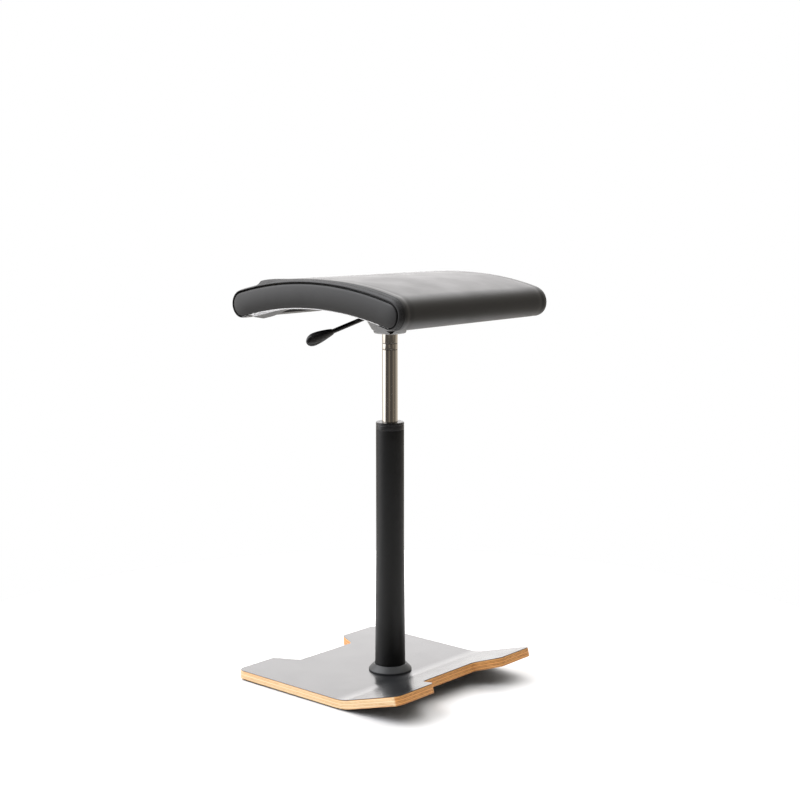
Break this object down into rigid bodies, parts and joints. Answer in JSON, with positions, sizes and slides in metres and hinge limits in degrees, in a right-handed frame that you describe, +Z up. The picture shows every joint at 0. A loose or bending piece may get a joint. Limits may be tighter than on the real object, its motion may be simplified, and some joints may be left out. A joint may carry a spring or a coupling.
{
  "type": "saddle stool",
  "caption": "Perching stool with an arched leather saddle on a gas lift column with a release lever, standing on a bent plywood foot board with a raised front.",
  "frame": {"origin": "on the column axis, at floor level", "axes": "+Z up along the column; the sitter faces -Y, towards the raised front of the foot board; the lever is at -X, under the sitter's right hand"},
  "size_m": [0.4176, 0.4145, 0.7457],
  "materials": {
    "birch_plywood": "clear-lacquered plywood edge",
    "dark_laminate": "satin laminate",
    "sole_rubber": "matte",
    "zinc_steel": "zinc-plated",
    "grey_moulding": "fine texture",
    "black_powder_coat": "satin powder coat",
    "black_nylon": "moulded satin",
    "bearing_steel": "ground",
    "cage_plastic": "moulded",
    "polished_steel": "polished",
    "piston_alloy": "turned",
    "valve_brass": "turned",
    "grey_pressed_steel": "grey coated pressing",
    "cast_hub": "as cast",
    "black_leather": "satin, fine grain",
    "seat_foam": "cut foam",
    "black_lining": "non-woven lining"
  },
  "bodies": {
    "base": {"base_board": "birch_plywood", "base_laminate": "dark_laminate", "base_sole": "sole_rubber", "backing_plate": "zinc_steel", "column_flange": "zinc_steel", "flange_bolt_1": "zinc_steel", "flange_bolt_2": "zinc_steel", "flange_bolt_3": "zinc_steel", "flange_bolt_4": "zinc_steel", "foot_collar": "grey_moulding", "column_tube": "black_powder_coat", "guide_bush": "black_nylon", "tube_end_plate": "zinc_steel", "lower_race": "bearing_steel"},
    "lift_rod": {"piston_rod": "polished_steel", "ball_cage": "cage_plastic", "upper_race": "bearing_steel", "retaining_clip": "bearing_steel", "buffer_ring": "sole_rubber", "piston": "piston_alloy", "piston_seal": "sole_rubber", "piston_nut": "zinc_steel"},
    "seat": {"gas_cylinder": "polished_steel", "rod_guide": "black_nylon", "valve_body": "valve_brass", "seat_bracket": "grey_pressed_steel", "seat_hub": "cast_hub", "lever_pin": "zinc_steel", "seat_plate": "grey_pressed_steel", "seat_cover": "black_leather", "side_panel_left": "black_leather", "side_panel_right": "black_leather", "seat_foam": "seat_foam", "seat_shell": "birch_plywood", "underside_cover": "black_lining", "seat_bolt_1": "zinc_steel", "seat_bolt_2": "zinc_steel", "seat_bolt_3": "zinc_steel", "seat_bolt_4": "zinc_steel", "tee_nut_1": "zinc_steel", "tee_nut_2": "zinc_steel", "tee_nut_3": "zinc_steel", "tee_nut_4": "zinc_steel"},
    "lever": {"lever_rod": "black_powder_coat", "lever_grip": "black_nylon"},
    "button": {"release_pin": "bearing_steel"}
  },
  "joints": [
    {"name": "seat_swivel", "type": "hinge", "parent": "base", "child": "lift_rod", "pos_m": [0, 0, 0.04], "axis": [0, 0, 1], "continuous": true},
    {"name": "seat_height", "type": "slide", "parent": "lift_rod", "child": "seat", "axis": [0, 0, 1], "range_m": [-0.14, 0.125]},
    {"name": "lever_pull", "type": "hinge", "parent": "seat", "child": "lever", "pos_m": [-0.027, 0, 0.68175], "axis": [0, 1, 0], "range_deg": [0, 6], "stiffness_Nm_per_rad": 4},
    {"name": "pin_press", "type": "slide", "parent": "seat", "child": "button", "axis": [0, 0, -1], "range_m": [0, 0.003], "stiffness_N_per_m": 200}
  ],
  "couplings": [
    {"joint": "pin_press", "follows": "lever_pull", "m_per_rad": 0.027}
  ]
}
